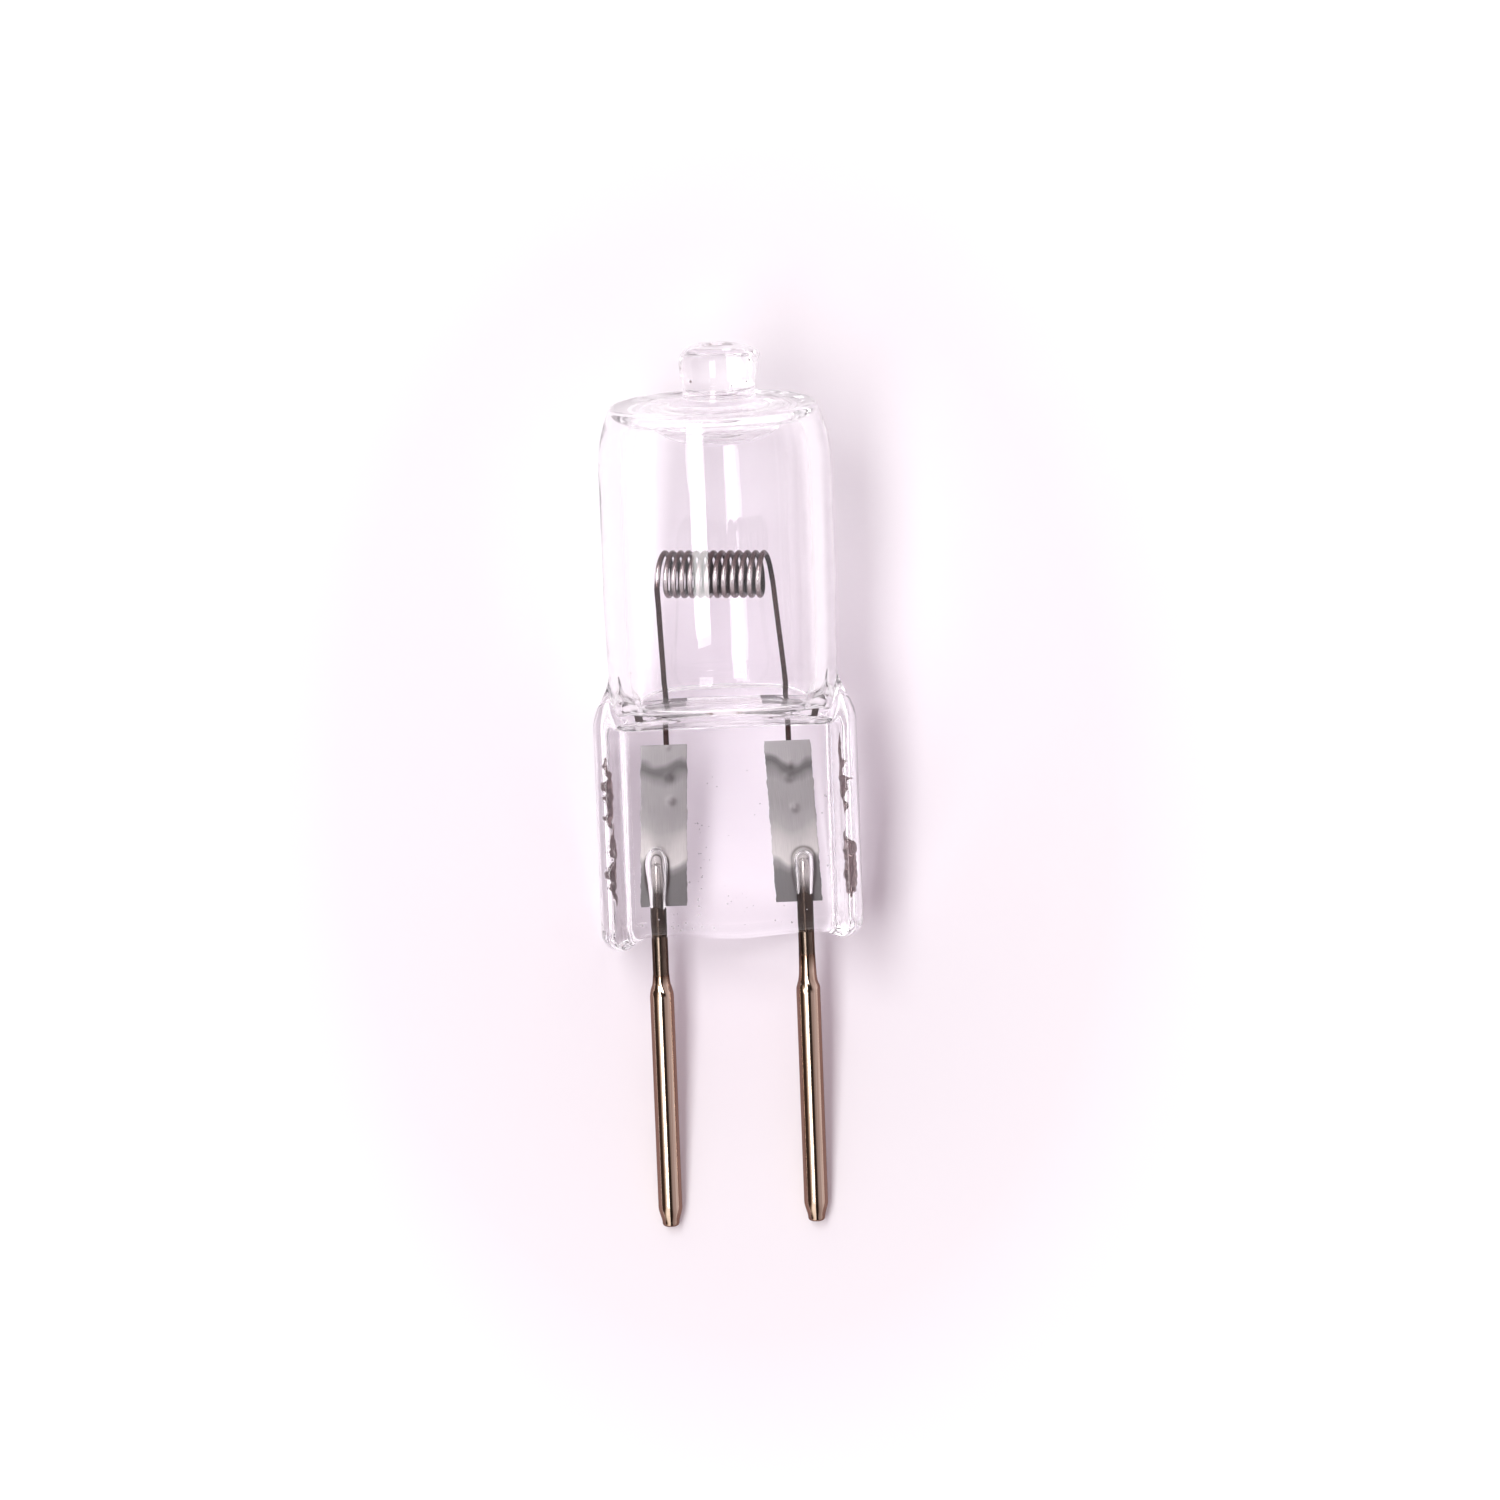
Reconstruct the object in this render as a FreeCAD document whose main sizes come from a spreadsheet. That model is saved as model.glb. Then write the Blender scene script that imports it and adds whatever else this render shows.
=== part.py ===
import FreeCAD, Part
import math
import os
import Sketcher

# Halogen capsule bulb with a two-pin base, lying as it comes to rest on its pin tips and its tube.
# Every piece is drawn upright in the lamp's own frame: Z runs from the pin tips to the exhaust tip,
# X from the left pin to the right pin, and -Y is the face that looks up once the lamp lies down.

Vector = FreeCAD.Vector
ALONG_X = Vector(1, 0, 0)
ALONG_Y = Vector(0, 1, 0)
ALONG_Z = Vector(0, 0, 1)
LEFT = -1
RIGHT = 1

doc = FreeCAD.newDocument("halogen_capsule_bulb")
sheet = doc.addObject("Spreadsheet::Sheet", "Sizes")

# All lengths in millimetres and all angles in degrees. The pinch is placed from the pin tips, and what
# lies above it from the pinch or the tube.
SIZES = {
    # contact pins, sleeves swaged on the lead wires
    "pin_spacing": "6.35",
    "pin_diameter": "1.04",
    "pin_tip_diameter": "0.7",
    "pin_tip_length": "0.85",
    "pin_barrel_length": "10.4",
    "pin_shoulder_length": "0.55",
    "pin_lip": "0.06",
    "pin_bore_depth": "8",
    # lead wires, welded to the front of the foils
    "lead_diameter": "0.7",
    "lead_inset": "3.15",
    "lead_end_bevel": "0.15",
    "lead_gap": "0.02",
    # sealing foils
    "foil_width": "2",
    "foil_flat_width": "1.3",
    "foil_thickness": "0.03",
    "foil_edge": "0.01",
    "foil_length": "7.1",
    "foil_inset": "1.2",
    "foil_bottom_offset": "2.93",
    "foil_lean": "2.2",
    # pinch seal
    "pinch_bottom": "13.05",
    "pinch_height": "9.25",
    "pinch_width": "11.35",
    "web_thickness": "2.9",
    "web_edge_round": "0.5",
    "web_rise": "0.3",
    "bead_width": "1.3",
    "bead_thickness": "4.3",
    "bead_end_bevel": "0.5",
    "bead_top_rise": "0.1",
    "bead_taper_rise": "0.1",
    "bead_taper_inset": "1.2",
    # shoulder between the pinch and the tube
    "shoulder_height": "2.5",
    "shoulder_foot_rise": "-0.25",
    "shoulder_neck_rise": "1",
    "shoulder_neck_diameter": "9.36",
    "shoulder_slope_end_rise": "0.97",
    # tube, top and exhaust tip
    "tube_diameter": "10",
    "tube_wall": "0.95",
    "tube_length": "11.3",
    "top_wall": "0.85",
    "brow_height": "1.6",
    "brow_low_drop": "1.05",
    "brow_low_inset": "0.07",
    "brow_high_drop": "0.5",
    "brow_high_inset": "0.29",
    "rim_drop": "0.1",
    "rim_inset": "0.57",
    "rim_flat_inset": "0.75",
    "tip_offset": "0.3",
    "tip_root_diameter": "3.6",
    "tip_root_height": "0.22",
    "tip_neck_diameter": "3.12",
    "tip_neck_height": "0.75",
    "tip_diameter": "3.3",
    "tip_flare_height": "1.1",
    "tip_length": "2.55",
    "tip_shoulder_drop": "0.75",
    "tip_crown_diameter": "2.5",
    "tip_crown_drop": "0.12",
    "tip_flat_diameter": "1.5",
    "tip_lip_diameter": "0.9",
    "tip_lip_end_diameter": "0.4",
    "tip_lip_reach": "2.1",
    "tip_lip_length": "0.9",
    "tip_lip_drop": "0.48",
    # chamber
    "chamber_bevel": "1.1",
    "chamber_roof_flat": "0.3",
    "chamber_drop_flat": "2.4",
    "chamber_drop_depth": "0.95",
    "chamber_high_rise": "1.6",
    "chamber_high_depth": "7.6",
    "chamber_high_width": "8",
    "chamber_low_rise": "1.05",
    "chamber_low_depth": "7",
    "chamber_low_width": "7.6",
    "chamber_floor_rise": "0.5",
    "chamber_floor_depth": "1",
    "chamber_floor_width": "7.3",
    # filament
    "wire_diameter": "0.21",
    "wire_gap": "0.02",
    "coil_rise": "3.95",
    "coil_start": "-2.59",
    "coil_radius": "0.94",
    "coil_pitch": "0.36",
    "coil_turns": "12",
    "coil_exit_angle": "21",
    "leg_inset": "3.8",
    "leg_left": "2.55",
    "leg_right": "2.72",
    "leg_straight_rise": "0.45",
    "leg_bend_rise": "0.6",
    "leg_bend_radius": "1.5",
    "leg_coil_run": "0.5",
    "leg_coil_radius": "0.8",
}
for row, (alias, value) in enumerate(SIZES.items(), start=1):
    sheet.set(f"A{row}", alias.replace("_", " "))
    sheet.set(f"B{row}", value)
    sheet.setAlias(f"B{row}", alias)
doc.recompute()


def size(alias):
    return float(sheet.get(alias))


class Length:
    """A sum of sheet sizes, read as a number or bound as an expression. Stacked sizes count in full."""

    def __init__(self, *stacked, **shares):
        shares = {**dict.fromkeys(stacked, 1), **shares}
        self.value = sum(share * size(alias) for alias, share in shares.items())
        self.rule = " + ".join(f"{share} * Sizes.{alias}" for alias, share in shares.items())


ZERO = None
NEAR = 1e-4

# Order in which a sketch counts an edge and its points.
POINT_ORDER = ["edge", "start", "end", "centre"]
START_POINT = POINT_ORDER.index("start")
END_POINT = POINT_ORDER.index("end")
CENTRE_POINT = POINT_ORDER.index("centre")

# Heights above the pin tips, as stacks of sizes.
PINCH_TOP = ("pinch_bottom", "pinch_height")
TUBE_START = PINCH_TOP + ("shoulder_height",)
TUBE_TOP = TUBE_START + ("tube_length",)
TIP_END = TUBE_TOP + ("tip_length",)
CHAMBER_FLOOR = PINCH_TOP + ("chamber_floor_rise",)
LEG_TOP = CHAMBER_FLOOR + ("leg_straight_rise",)


def bind(item, rules):
    for name, rule in rules.items():
        item.setExpression(name, rule)
    return item


def add(kind, name, rules):
    return bind(doc.addObject(kind, name), rules)


def tie(sketch, axis, corner, length):
    """Ties one coordinate of a corner to the sketch's axis or to a size."""
    edge, end = corner
    if length is ZERO:
        across = -2 if axis == "X" else -1
        sketch.addConstraint(Sketcher.Constraint("PointOnObject", edge, end, across))
        return
    rule = Sketcher.Constraint("Distance" + axis, -1, START_POINT, edge, end, length.value)
    number = sketch.addConstraint(rule)
    sketch.setExpression(f"Constraints[{number}]", length.rule)


def draw_outline(sketch, corners):
    """Closed outline of straight edges with both coordinates of each corner tied to the sheet."""
    points = [Vector(x.value if x else 0, y.value if y else 0, 0) for x, y in corners]
    count = len(points)
    for number, point in enumerate(points):
        sketch.addGeometry(Part.LineSegment(point, points[(number + 1) % count]))
    for number in range(count):
        following = (number + 1) % count
        joint = Sketcher.Constraint("Coincident", number, END_POINT, following, START_POINT)
        sketch.addConstraint(joint)
    for number, (x, y) in enumerate(corners):
        tie(sketch, "X", (number, START_POINT), x)
        tie(sketch, "Y", (number, START_POINT), y)


def body_sketch(body, plane_role, name):
    sketch = body.newObject("Sketcher::SketchObject", name)
    plane = [p for p in body.Origin.OriginFeatures if p.Role == plane_role][0]
    sketch.AttachmentSupport = [(plane, "")]
    sketch.MapMode = "FlatFace"
    return sketch


def turned_body(name, corners):
    """Body turned about Z from the outline of its half section."""
    body = doc.addObject("PartDesign::Body", name)
    sketch = body_sketch(body, "XZ_Plane", name + "_section")
    draw_outline(sketch, corners)
    doc.recompute()
    turned = body.newObject("PartDesign::Revolution", name + "_turned")
    turned.Profile = sketch
    turned.ReferenceAxis = (sketch, ["V_Axis"])
    turned.Angle = 360
    sketch.Visibility = False
    doc.recompute()
    return body


def round_edges(body, name, radius_rule, wanted):
    """Rounds the edges of the body's tip whose middle point is wanted."""
    base = body.Tip
    edges = []
    for number, edge in enumerate(base.Shape.Edges, start=1):
        middle = edge.valueAt((edge.FirstParameter + edge.LastParameter) / 2)
        if wanted(edge, middle):
            edges.append(f"Edge{number}")
    rounded = body.newObject("PartDesign::Fillet", name)
    rounded.Base = (base, edges)
    rounded.setExpression("Radius", radius_rule)
    doc.recompute()


def ellipse(name, width_rule, depth_rule, height_rule, shift_rule="0"):
    rules = {
        "MajorRadius": f"({width_rule}) / 2",
        "MinorRadius": f"({depth_rule}) / 2",
        ".Placement.Base.z": height_rule,
        ".Placement.Base.y": shift_rule,
    }
    return add("Part::Ellipse", name, rules)


def loft(name, sections, ruled=False):
    joined = doc.addObject("Part::Loft", name)
    joined.Sections = sections
    joined.Solid = True
    joined.Ruled = ruled
    return joined


def fuse(name, pieces):
    joined = doc.addObject("Part::MultiFuse", name)
    joined.Shapes = pieces
    joined.Refine = False
    return joined


def cut(name, base, tool):
    left = doc.addObject("Part::Cut", name)
    left.Base = base
    left.Tool = tool
    left.Refine = False
    return left


def mirrored(name, source):
    copy = doc.addObject("Part::Mirroring", name)
    copy.Source = source
    copy.Base = Vector(0, 0, 0)
    copy.Normal = ALONG_X
    return copy


# Contact pin: a turned sleeve with a tapered tip, a blind bore and a swaged shoulder.
def contact_pin(name):
    outer = Length(pin_diameter=0.5)
    mouth = Length(pin_barrel_length=1, pin_shoulder_length=1)
    floor = Length(pin_barrel_length=1, pin_shoulder_length=1, pin_bore_depth=-1)
    corners = [
        (ZERO, ZERO),
        (Length(pin_tip_diameter=0.5), ZERO),
        (outer, Length(pin_tip_length=1)),
        (outer, Length(pin_barrel_length=1)),
        (Length(lead_diameter=0.5, pin_lip=1), mouth),
        (Length(lead_diameter=0.5), mouth),
        (Length(lead_diameter=0.5), floor),
        (ZERO, floor),
    ]
    return turned_body(name, corners)


# Lead wire: round, with a bevelled end, from the bore of the pin up to the foil.
def lead_wire(name):
    side = Length(lead_diameter=0.5)
    floor = Length(pin_barrel_length=1, pin_shoulder_length=1, pin_bore_depth=-1)
    end = Length(pinch_bottom=1, lead_inset=1)
    corners = [
        (ZERO, floor),
        (side, floor),
        (side, Length(pinch_bottom=1, lead_inset=1, lead_end_bevel=-1)),
        (Length(lead_diameter=0.5, lead_end_bevel=-1), end),
        (ZERO, end),
    ]
    return turned_body(name, corners)


# Channel that a lead wire leaves in the quartz, which does not wet it.
def lead_channel(name):
    side = Length(lead_diameter=0.5, lead_gap=1)
    floor = Length(pinch_bottom=1, web_rise=-1)
    end = Length(pinch_bottom=1, lead_inset=1, lead_gap=1)
    corners = [
        (ZERO, floor),
        (side, floor),
        (side, end),
        (ZERO, end),
    ]
    return turned_body(name, corners)


# Sealing foil: a thin ribbon thinned further at its two long edges.
def foil(name):
    body = doc.addObject("PartDesign::Body", name)
    sketch = body_sketch(body, "XY_Plane", name + "_section")
    corners = [
        (Length(foil_width=-0.5), Length(foil_edge=-0.5)),
        (Length(foil_flat_width=-0.5), Length(foil_thickness=-0.5)),
        (Length(foil_flat_width=0.5), Length(foil_thickness=-0.5)),
        (Length(foil_width=0.5), Length(foil_edge=-0.5)),
        (Length(foil_width=0.5), Length(foil_edge=0.5)),
        (Length(foil_flat_width=0.5), Length(foil_thickness=0.5)),
        (Length(foil_flat_width=-0.5), Length(foil_thickness=0.5)),
        (Length(foil_width=-0.5), Length(foil_edge=0.5)),
    ]
    draw_outline(sketch, corners)
    doc.recompute()
    ribbon = body.newObject("PartDesign::Pad", name + "_ribbon")
    ribbon.Profile = sketch
    ribbon.setExpression("Length", "Sizes.foil_length")
    sketch.Visibility = False
    doc.recompute()
    return body


# The foils lie against the back of the lead wires.
FOIL_DEPTH = (size("lead_diameter") + size("foil_thickness")) / 2


def foil_place(side):
    lean = FreeCAD.Rotation(ALONG_Y, -side * size("foil_lean"))
    bottom = Length(pinch_bottom=1, foil_inset=1).value
    corner = Vector(side * size("foil_bottom_offset"), FOIL_DEPTH, bottom)
    return FreeCAD.Placement(corner, lean)


def lead_place(side):
    return FreeCAD.Placement(Vector(side * size("pin_spacing") / 2, 0, 0), FreeCAD.Rotation())


# Filament: the coil is a chain of half turns, each an arc in a plane that leans by the pitch, so that
# the wire runs smoothly from turn to turn and on into its two legs.
LEG_DEPTH = size("lead_diameter") / 2 + size("foil_thickness") + size("wire_diameter") / 2
LEG_DEPTH_RULE = "Sizes.lead_diameter / 2 + Sizes.foil_thickness + Sizes.wire_diameter / 2"


def bend(before, corner, after, radius):
    """Tangent arc at a corner, with the points where it leaves and joins the straight runs."""
    back = (before - corner).normalize()
    ahead = (after - corner).normalize()
    half_angle = back.getAngle(ahead) / 2
    reach = radius / math.tan(half_angle)
    first = corner + back * reach
    last = corner + ahead * reach
    inward = (back + ahead).normalize()
    middle = corner + inward * (radius / math.sin(half_angle) - radius)
    return first, Part.Arc(first, middle, last).toShape(), last


def straight(start, end):
    return Part.LineSegment(start, end).toShape()


def turn(centre, radius, downward, first_angle, last_angle):
    """Arc about a centre, with the angle counted from straight above towards +Y."""

    def at(angle):
        turned = math.radians(angle)
        return centre - downward * (radius * math.cos(turned)) + ALONG_Y * (radius * math.sin(turned))

    middle_angle = (first_angle + last_angle) / 2
    return Part.Arc(at(first_angle), at(middle_angle), at(last_angle)).toShape()


def leg_edges(foot, coil_end, coil_heading):
    """Edges of a leg from its straight foot in the pinch to the end of the coil."""
    corner = foot + ALONG_Z * size("leg_bend_rise")
    coil_corner = coil_end + coil_heading * size("leg_coil_run")
    low_start, low_arc, low_end = bend(foot, corner, coil_corner, size("leg_bend_radius"))
    high_start, high_arc, high_end = bend(corner, coil_corner, coil_end, size("leg_coil_radius"))
    return [
        straight(foot, low_start),
        low_arc,
        straight(low_end, high_start),
        high_arc,
        straight(high_end, coil_end),
    ]


def filament_path():
    radius = size("coil_radius")
    pitch = size("coil_pitch")
    turns = int(round(size("coil_turns")))
    height = Length(*TUBE_START, coil_rise=1).value
    leaning_radius = math.hypot(radius, pitch / 4)
    rising = Vector(pitch / 4, 0, radius).normalize()
    falling = Vector(pitch / 4, 0, -radius).normalize()
    edges = []
    for number in range(turns):
        front = Vector(size("coil_start") + number * pitch, 0, height)
        back = front + ALONG_X * (pitch / 2)
        first_angle = -90 if number == 0 else -180
        edges.append(turn(front, leaning_radius, rising * -1, first_angle, 0))
        edges.append(turn(back, leaning_radius, falling, 0, 180))
    last_front = Vector(size("coil_start") + turns * pitch, 0, height)
    edges.append(turn(last_front, leaning_radius, rising * -1, -180, 0))
    exit_angle = math.radians(size("coil_exit_angle"))
    leaving = Vector(math.sin(exit_angle), 0, -math.cos(exit_angle))
    crest = last_front + rising * leaning_radius
    edges.append(turn(crest + leaving * radius, radius, leaving, 0, 90))
    coil_entry = Vector(size("coil_start"), -leaning_radius, height)
    coil_exit = crest + leaving * radius + ALONG_Y * radius
    left_foot = Vector(-size("leg_left"), LEG_DEPTH, Length(*LEG_TOP).value)
    right_foot = Vector(size("leg_right"), LEG_DEPTH, Length(*LEG_TOP).value)
    left_leg = leg_edges(left_foot, coil_entry, rising * -1)
    right_leg = leg_edges(right_foot, coil_exit, leaving)
    right_leg.reverse()
    return Part.Wire(left_leg + edges + right_leg)


WIRE_SIDES = 5


def filament(name):
    path = doc.addObject("Part::Feature", name + "_path")
    path.Shape = filament_path()
    # A section of few sides, with the area of the round wire, keeps the coil's faces few.
    side_angle = 2 * math.pi / WIRE_SIDES
    same_area = math.sqrt(side_angle / math.sin(side_angle))
    rules = {
        "Circumradius": f"Sizes.wire_diameter / 2 * {same_area}",
        ".Placement.Base.x": "-Sizes.leg_left",
        ".Placement.Base.y": LEG_DEPTH_RULE,
        ".Placement.Base.z": Length(*LEG_TOP).rule,
    }
    section = add("Part::RegularPolygon", name + "_wire_section", rules)
    section.Polygon = WIRE_SIDES
    doc.recompute()
    wound = doc.addObject("Part::Sweep", name + "_wound")
    wound.Sections = [section]
    wound.Spine = (path, [f"Edge{number}" for number in range(1, len(path.Shape.Edges) + 1)])
    wound.Solid = True
    wound.Frenet = False
    feet = [
        leg_foot(name + "_foot_left", "-Sizes.leg_left"),
        leg_foot(name + "_foot_right", "Sizes.leg_right"),
    ]
    return fuse(name, [wound] + feet)


def leg_foot(name, across_rule, room="0"):
    rules = {
        "Radius": f"Sizes.wire_diameter / 2 + {room}",
        "Height": "Sizes.leg_inset + Sizes.chamber_floor_rise + Sizes.leg_straight_rise",
        ".Placement.Base.x": across_rule,
        ".Placement.Base.y": LEG_DEPTH_RULE,
        ".Placement.Base.z": Length(*PINCH_TOP, leg_inset=-1).rule,
    }
    return add("Part::Cylinder", name, rules)


# Tube with a flat, round-shouldered top.
def tube():
    side = Length(tube_diameter=0.5)
    start = Length(*TUBE_START)
    top = Length(*TUBE_TOP)
    corners = [
        (ZERO, start),
        (side, start),
        (side, Length(*TUBE_TOP, brow_height=-1)),
        (Length(tube_diameter=0.5, brow_low_inset=-1), Length(*TUBE_TOP, brow_low_drop=-1)),
        (Length(tube_diameter=0.5, brow_high_inset=-1), Length(*TUBE_TOP, brow_high_drop=-1)),
        (Length(tube_diameter=0.5, rim_inset=-1), Length(*TUBE_TOP, rim_drop=-1)),
        (Length(tube_diameter=0.5, rim_flat_inset=-1), top),
        (ZERO, top),
    ]
    return turned_body("tube", corners)


# Tipped-off exhaust stub, a little off the tube's axis, with its foot in the top of the tube.
def exhaust_tip():
    root = Length(tip_root_diameter=0.5)
    neck = Length(tip_neck_diameter=0.5)
    stub = Length(tip_diameter=0.5)
    foot = Length(*TUBE_TOP, top_wall=-0.5)
    end = Length(*TIP_END)
    corners = [
        (ZERO, foot),
        (root, foot),
        (root, Length(*TUBE_TOP)),
        (neck, Length(*TUBE_TOP, tip_root_height=1)),
        (neck, Length(*TUBE_TOP, tip_neck_height=1)),
        (stub, Length(*TUBE_TOP, tip_flare_height=1)),
        (stub, Length(*TIP_END, tip_shoulder_drop=-1)),
        (Length(tip_crown_diameter=0.5), Length(*TIP_END, tip_crown_drop=-1)),
        (Length(tip_flat_diameter=0.5), end),
        (ZERO, end),
    ]
    return bind(turned_body("exhaust_tip", corners), {".Placement.Base.x": "Sizes.tip_offset"})


# Off-centre lip that the burner leaves where the exhaust tube is drawn off.
def tip_lip():
    rules = {
        "Radius1": "Sizes.tip_lip_diameter / 2",
        "Radius2": "Sizes.tip_lip_end_diameter / 2",
        "Height": "Sizes.tip_lip_length",
        ".Placement.Base.x": "Sizes.tip_lip_reach - Sizes.tip_lip_length",
        ".Placement.Base.z": Length(*TIP_END, tip_lip_drop=-1).rule,
    }
    lip = doc.addObject("Part::Cone", "tip_lip")
    lip.Placement = FreeCAD.Placement(Vector(), FreeCAD.Rotation(ALONG_Z, ALONG_X))
    return bind(lip, rules)


def oval(name):
    """Oval cross-section whose width, depth and rise above the pinch are sheet sizes of its name."""
    height = Length(*PINCH_TOP, name + "_rise")
    return ellipse(name, f"Sizes.{name}_width", f"Sizes.{name}_depth", height.rule)


# Shoulder where the round tube is pressed down to the flat pinch: the tube draws in a little, and the
# jaws of the press leave a slope on its front and on its back.
def shoulder():
    side = Length(tube_diameter=0.5)
    neck = Length(shoulder_neck_diameter=0.5)
    foot = Length(*PINCH_TOP, "shoulder_foot_rise")
    start = Length(*TUBE_START)
    corners = [
        (ZERO, foot),
        (neck, foot),
        (neck, Length(*PINCH_TOP, "shoulder_neck_rise")),
        (side, start),
        (ZERO, start),
    ]
    drawn_in = turned_body("shoulder_round", corners)
    slope_end = Length(*PINCH_TOP, "shoulder_slope_end_rise")
    pressed = doc.addObject("PartDesign::Body", "shoulder_pressed")
    sketch = body_sketch(pressed, "YZ_Plane", "shoulder_press_outline")
    round_front = Length(tube_diameter=-0.5)
    outline = [
        (Length(web_thickness=-0.35), foot),
        (Length(web_thickness=0.35), foot),
        (side, slope_end),
        (side, start),
        (round_front, start),
        (round_front, slope_end),
    ]
    draw_outline(sketch, outline)
    doc.recompute()
    block = pressed.newObject("PartDesign::Pad", "shoulder_block")
    block.Profile = sketch
    block.Midplane = True
    block.setExpression("Length", "2 * Sizes.tube_diameter")
    sketch.Visibility = False
    doc.recompute()
    kept = doc.addObject("Part::MultiCommon", "shoulder")
    kept.Shapes = [drawn_in, pressed]
    return kept


# Flat web of the pinch seal, with the long edges of its underside rounded.
def pinch_web():
    body = doc.addObject("PartDesign::Body", "pinch_web")
    sketch = body_sketch(body, "XZ_Plane", "web_outline")
    side = Length(pinch_width=0.5, bead_width=-0.5)
    other_side = Length(pinch_width=-0.5, bead_width=0.5)
    bottom = Length(pinch_bottom=1)
    top = Length(*PINCH_TOP)
    corners = [(other_side, bottom), (side, bottom), (side, top), (other_side, top)]
    draw_outline(sketch, corners)
    doc.recompute()
    web = body.newObject("PartDesign::Pad", "web")
    web.Profile = sketch
    web.Midplane = True
    web.setExpression("Length", "Sizes.web_thickness")
    sketch.Visibility = False
    doc.recompute()
    half_thickness = size("web_thickness") / 2

    def underside(edge, middle):
        on_face = abs(abs(middle.y) - half_thickness) < NEAR
        return on_face and abs(middle.z - size("pinch_bottom")) < NEAR

    round_edges(body, "underside_rounding", "Sizes.web_edge_round", underside)
    return body


def slot_outline(sketch, centre, half_width, half_length):
    """Slot along Y with round ends, its centre on the X axis."""
    across = centre.value
    radius = half_width.value
    reach = half_length.value - radius
    upper = Part.Circle(Vector(across, reach, 0), ALONG_Z, radius)
    lower = Part.Circle(Vector(across, -reach, 0), ALONG_Z, radius)
    near = across - radius
    far = across + radius
    sketch.addGeometry(Part.ArcOfCircle(upper, 0, math.pi))
    sketch.addGeometry(Part.LineSegment(Vector(near, reach, 0), Vector(near, -reach, 0)))
    sketch.addGeometry(Part.ArcOfCircle(lower, math.pi, 2 * math.pi))
    sketch.addGeometry(Part.LineSegment(Vector(far, -reach, 0), Vector(far, reach, 0)))
    for number in range(4):
        following = (number + 1) % 4
        joint = Sketcher.Constraint("Tangent", number, END_POINT, following, START_POINT)
        sketch.addConstraint(joint)
    sketch.addConstraint(Sketcher.Constraint("Vertical", 1))
    sketch.addConstraint(Sketcher.Constraint("Equal", 0, 2))
    round_end = sketch.addConstraint(Sketcher.Constraint("Radius", 0, radius))
    sketch.setExpression(f"Constraints[{round_end}]", half_width.rule)
    tie(sketch, "X", (0, CENTRE_POINT), centre)
    ends = f"({half_length.rule}) - ({half_width.rule})"
    for arc, height, sign in ((0, reach, ""), (2, -reach, "-")):
        distance = Sketcher.Constraint("DistanceY", -1, START_POINT, arc, CENTRE_POINT, height)
        number = sketch.addConstraint(distance)
        sketch.setExpression(f"Constraints[{number}]", f"{sign}({ends})")


# Bead along each side of the pinch, tapered upwards into the side of the tube.
def side_bead():
    body = doc.addObject("PartDesign::Body", "bead_right")
    centre = Length(pinch_width=0.5, bead_width=-0.5)
    sketch = body_sketch(body, "XY_Plane", "bead_section")
    sketch.setExpression("AttachmentOffset.Base.z", "Sizes.pinch_bottom - Sizes.web_rise")
    slot_outline(sketch, centre, Length(bead_width=0.5), Length(bead_thickness=0.5))
    doc.recompute()
    run = body.newObject("PartDesign::Pad", "bead_run")
    run.Profile = sketch
    run_length = Length("pinch_height", "shoulder_height", "bead_top_rise", "web_rise")
    run.setExpression("Length", run_length.rule)
    sketch.Visibility = False
    doc.recompute()
    end_height = size("pinch_bottom") - size("web_rise")
    end_edges = [
        f"Edge{number}"
        for number, edge in enumerate(run.Shape.Edges, start=1)
        if abs(edge.BoundBox.ZMax - end_height) < NEAR
    ]
    bevel = body.newObject("PartDesign::Chamfer", "bead_end_bevel")
    bevel.Base = (run, end_edges)
    bevel.setExpression("Size", "Sizes.bead_end_bevel")
    doc.recompute()
    side = Length(pinch_width=0.5)
    outside = Length(pinch_width=0.5, bead_width=0.5)
    taper_start = Length(*PINCH_TOP, bead_taper_rise=1)
    bead_top = Length(*TUBE_START, bead_top_rise=1)
    corners = [
        (side, taper_start),
        (outside, taper_start),
        (outside, bead_top),
        (Length(pinch_width=0.5, bead_taper_inset=-1), bead_top),
    ]
    taper_sketch = body_sketch(body, "XZ_Plane", "bead_taper_outline")
    draw_outline(taper_sketch, corners)
    doc.recompute()
    taper = body.newObject("PartDesign::Pocket", "bead_taper")
    taper.Profile = taper_sketch
    taper.Midplane = True
    taper.setExpression("Length", "2 * Sizes.bead_thickness")
    taper_sketch.Visibility = False
    doc.recompute()
    return body


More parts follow.
